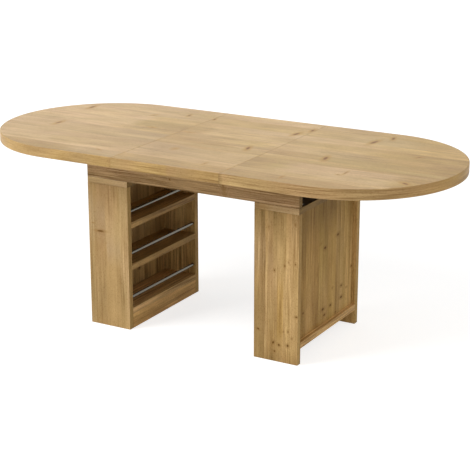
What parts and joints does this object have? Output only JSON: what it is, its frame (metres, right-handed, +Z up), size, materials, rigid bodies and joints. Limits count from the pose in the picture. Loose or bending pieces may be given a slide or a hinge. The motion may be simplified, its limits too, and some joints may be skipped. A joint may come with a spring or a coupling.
{
  "type": "extending dining table",
  "caption": "Oval extending dining table in light oak boards: sliding half-tops and a loose leaf over two hollow shelved pedestals with metal rods.",
  "frame": {"origin": "on the floor, under the middle of the top", "axes": "+X along the table towards the right half-top, +Y towards the back, +Z up"},
  "size_m": [2, 0.9, 0.77],
  "materials": {
    "oak_top": "satin",
    "edge_band": "satin",
    "oak_upright": "satin",
    "oak_level": "satin",
    "dowel_beech": "matt",
    "rod_metal": "polished",
    "channel_steel": "galvanised",
    "runner_aluminium": "satin",
    "zinc_fittings": "zinc plated"
  },
  "bodies": {
    "base": {"left_front_panel": "oak_upright", "left_back_panel": "oak_upright", "left_side_panel": "oak_upright", "left_capping_board": "oak_level", "left_upper_shelf": "oak_level", "left_middle_shelf": "oak_level", "left_bottom_shelf": "oak_level", "left_plinth": "oak_level", "left_upper_rod": "rod_metal", "left_middle_rod": "rod_metal", "left_lower_rod": "rod_metal", "left_cam_locks": "zinc_fittings", "left_cam_bolts": "zinc_fittings", "right_front_panel": "oak_upright", "right_back_panel": "oak_upright", "right_side_panel": "oak_upright", "right_capping_board": "oak_level", "right_upper_shelf": "oak_level", "right_middle_shelf": "oak_level", "right_bottom_shelf": "oak_level", "right_plinth": "oak_level", "right_upper_rod": "rod_metal", "right_middle_rod": "rod_metal", "right_lower_rod": "rod_metal", "right_cam_locks": "zinc_fittings", "right_cam_bolts": "zinc_fittings", "front_apron": "oak_level", "back_apron": "oak_level", "centre_tie": "oak_level", "front_leaf_bearers": "oak_level", "back_leaf_bearers": "oak_level", "front_channel": "channel_steel", "back_channel": "channel_steel", "frame_dowels": "dowel_beech", "tie_dowels": "dowel_beech", "plinth_dowels": "dowel_beech", "frame_brackets": "zinc_fittings", "bracket_screws": "zinc_fittings", "bearer_screws": "zinc_fittings", "channel_screws": "zinc_fittings", "stop_pins": "zinc_fittings"},
    "left_top": {"left_half_top": "oak_top", "left_rim_band": "edge_band", "left_seam_band": "edge_band", "left_front_runner": "runner_aluminium", "left_back_runner": "runner_aluminium", "left_seam_plates": "zinc_fittings", "left_top_screws": "zinc_fittings"},
    "right_top": {"right_half_top": "oak_top", "right_rim_band": "edge_band", "right_seam_band": "edge_band", "right_front_runner": "runner_aluminium", "right_back_runner": "runner_aluminium", "right_seam_plates": "zinc_fittings", "right_top_screws": "zinc_fittings"},
    "leaf": {"leaf_board": "oak_top", "leaf_edge_bands": "edge_band", "leaf_seam_bands": "edge_band", "leaf_pegs": "dowel_beech"}
  },
  "joints": [
    {"name": "left_top_slide", "type": "slide", "parent": "base", "child": "left_top", "axis": [-1, 0, 0], "range_m": [0, 0.03]},
    {"name": "right_top_slide", "type": "slide", "parent": "base", "child": "right_top", "axis": [1, 0, 0], "range_m": [0, 0.03]},
    {"name": "leaf_lift", "type": "slide", "parent": "base", "child": "leaf", "axis": [0, 0, 1], "range_m": [0, 0.06]}
  ]
}
